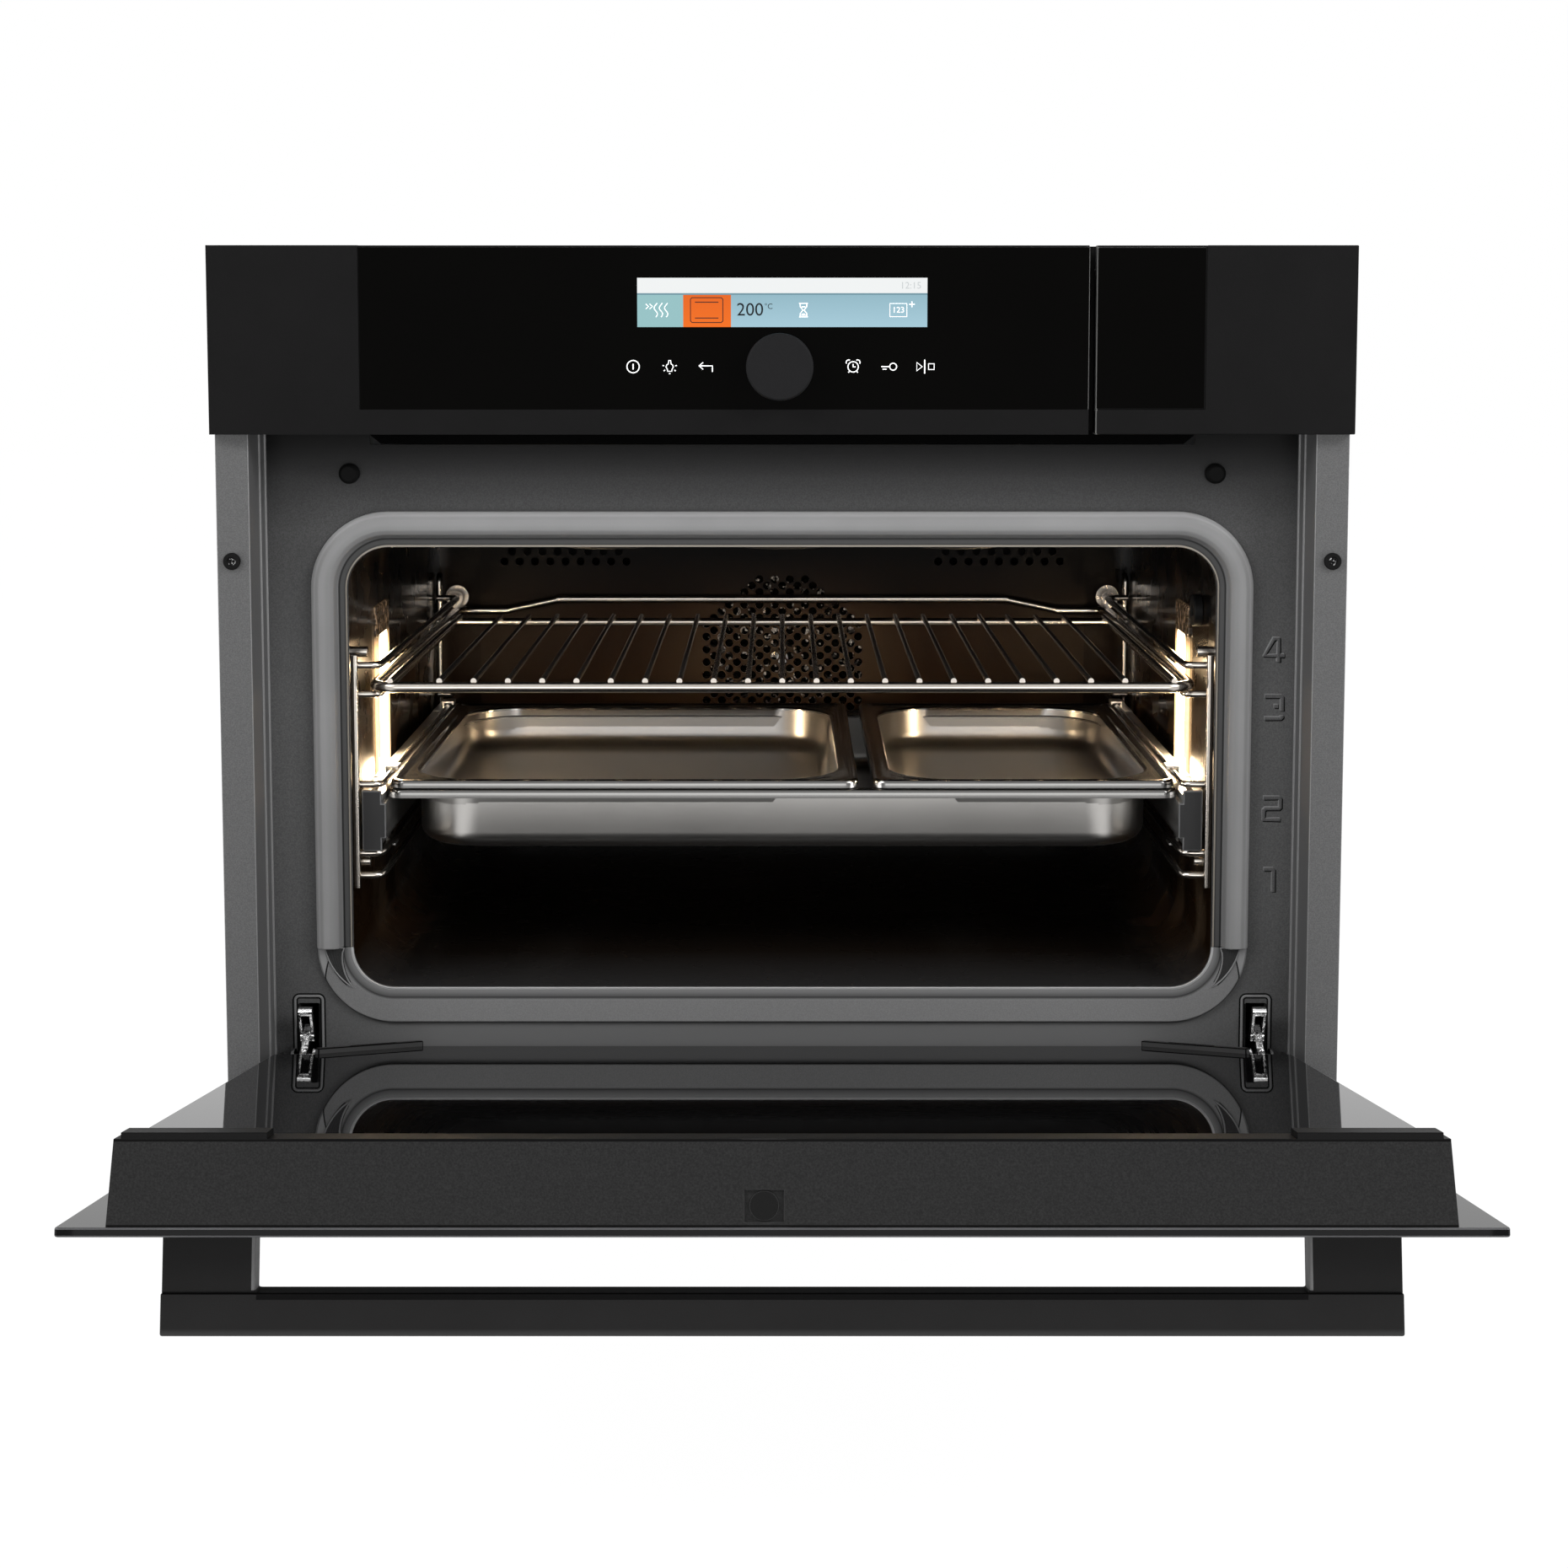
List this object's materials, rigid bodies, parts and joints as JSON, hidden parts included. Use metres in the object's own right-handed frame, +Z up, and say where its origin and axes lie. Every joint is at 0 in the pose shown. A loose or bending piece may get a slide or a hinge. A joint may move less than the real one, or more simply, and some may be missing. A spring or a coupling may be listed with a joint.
{
  "type": "built-in compact steam oven",
  "caption": "Built-in compact oven with drop-down glass door, wire rack, steam trays on telescopic runners, control knob, display and pull-out water tank.",
  "frame": {"origin": "middle of the two niche screws, on the plane where the side flanges meet the cabinet's front edges", "axes": "+X to the right seen from the front, +Y into the niche, +Z up"},
  "size_m": [0.597, 0.865, 0.4725],
  "materials": {
    "matt_black_panel": "matt black powder coat",
    "panel_glass": "glossy black back-printed glass",
    "display": "lit display",
    "circuit_board": "green circuit board",
    "zinc_steel": "zinc plated",
    "knob_grey": "matt dark grey",
    "tank_plastic": "translucent moulded plastic",
    "dark_plastic": "matt black",
    "galvanised_sheet": "galvanised sheet",
    "grey_enamel": "speckled grey enamel",
    "black_rubber": "matt black",
    "grey_silicone": "satin silicone",
    "cavity_enamel": "glossy dark enamel",
    "fan_steel": "stamped steel",
    "heater_tube": "oxidised tube",
    "lamp_lens": "frosted warm lens",
    "chrome_wire": "chromed wire",
    "runner_steel": "bright steel",
    "cap_grey": "grey cap",
    "tray_steel": "satin stainless",
    "glass_wool": "fibrous",
    "hinge_chrome": "chromed steel",
    "door_glass": "tinted glass",
    "door_metal": "black painted sheet",
    "handle_black": "matt black powder coat"
  },
  "bodies": {
    "housing": {"control_panel": "matt_black_panel", "panel_glass": "panel_glass", "display_module": "display", "control_board": "circuit_board", "knob_encoder": "zinc_steel", "hinge_receivers": "zinc_steel", "runner_rails": "zinc_steel", "tank_guide": "dark_plastic", "vent_lip": "dark_plastic", "niche_bushes": "dark_plastic", "probe_socket": "dark_plastic", "air_duct": "galvanised_sheet", "cooling_housing": "galvanised_sheet", "base_pan": "galvanised_sheet", "side_panels": "galvanised_sheet", "top_cover": "galvanised_sheet", "rear_cover": "galvanised_sheet", "fan_motor": "galvanised_sheet", "front_frame": "grey_enamel", "side_trims": "grey_enamel", "mouth_sill": "grey_enamel", "door_bumpers": "black_rubber", "door_gasket": "grey_silicone", "cavity_liner": "cavity_enamel", "fan_baffle": "cavity_enamel", "ring_heater": "heater_tube", "grill_element": "heater_tube", "bottom_heater": "heater_tube", "oven_lamps": "lamp_lens", "ladder_studs": "chrome_wire", "ladder_left": "chrome_wire", "ladder_right": "chrome_wire", "steam_generator": "tray_steel", "insulation": "glass_wool", "hinge_arms": "hinge_chrome"},
    "door": {"door_outer_glass": "door_glass", "door_frame": "door_metal", "door_middle_glass": "door_glass", "door_inner_glass": "door_glass", "door_glass_strips": "dark_plastic", "door_top_trim": "dark_plastic", "door_handle": "handle_black", "hinge_cases": "hinge_chrome"},
    "latches": {"hinge_latches": "hinge_chrome"},
    "stem": {"knob_stem": "zinc_steel"},
    "knob": {"control_knob": "knob_grey"},
    "tank": {"tank_front": "matt_black_panel", "tank_front_glass": "panel_glass", "water_tank": "tank_plastic"},
    "rack": {"wire_rack": "chrome_wire"},
    "tray": {"steam_tray": "tray_steel", "pan_large": "tray_steel", "pan_small": "tray_steel", "runner_slides": "runner_steel", "runner_caps": "cap_grey"},
    "left_middle_rail": {"runner_middle_left": "zinc_steel"},
    "right_middle_rail": {"runner_middle_right": "zinc_steel"},
    "fan": {"convection_fan": "fan_steel", "fan_shaft": "zinc_steel"},
    "cooling_fan": {"cooling_wheel": "dark_plastic"}
  },
  "joints": [
    {"name": "door_hinge", "type": "hinge", "parent": "housing", "child": "door", "pos_m": [0, 0.021, -0.276], "axis": [-1, 0, 0], "range_deg": [0, 80]},
    {"name": "latch_flip", "type": "hinge", "parent": "housing", "child": "latches", "pos_m": [0, 0.033, -0.265], "axis": [-1, 0, 0], "range_deg": [-70, 0]},
    {"name": "knob_push", "type": "slide", "parent": "housing", "child": "stem", "axis": [0, 1, 0], "range_m": [0, 0.0025], "stiffness_N_per_m": 600},
    {"name": "knob_spin", "type": "hinge", "parent": "stem", "child": "knob", "pos_m": [-0.0013, -0.019, 0.1023], "axis": [0, -1, 0], "continuous": true},
    {"name": "tank_slide", "type": "slide", "parent": "housing", "child": "tank", "axis": [0, 1, 0], "range_m": [-0.26, 0]},
    {"name": "rack_slide", "type": "slide", "parent": "housing", "child": "rack", "axis": [0, 1, 0], "range_m": [-0.33, 0]},
    {"name": "tray_slide", "type": "slide", "parent": "housing", "child": "tray", "axis": [0, 1, 0], "range_m": [-0.28, 0]},
    {"name": "left_middle_slide", "type": "slide", "parent": "housing", "child": "left_middle_rail", "axis": [0, 1, 0], "range_m": [-0.14, 0]},
    {"name": "right_middle_slide", "type": "slide", "parent": "housing", "child": "right_middle_rail", "axis": [0, 1, 0], "range_m": [-0.14, 0]},
    {"name": "fan_spin", "type": "hinge", "parent": "housing", "child": "fan", "pos_m": [0, 0.431, -0.109], "axis": [0, 1, 0], "continuous": true},
    {"name": "cooling_spin", "type": "hinge", "parent": "housing", "child": "cooling_fan", "pos_m": [-0.04, 0.381, 0.07], "axis": [0, 0, 1], "continuous": true}
  ],
  "couplings": [
    {"joint": "left_middle_slide", "follows": "tray_slide", "ratio": 0.5},
    {"joint": "right_middle_slide", "follows": "tray_slide", "ratio": 0.5}
  ]
}
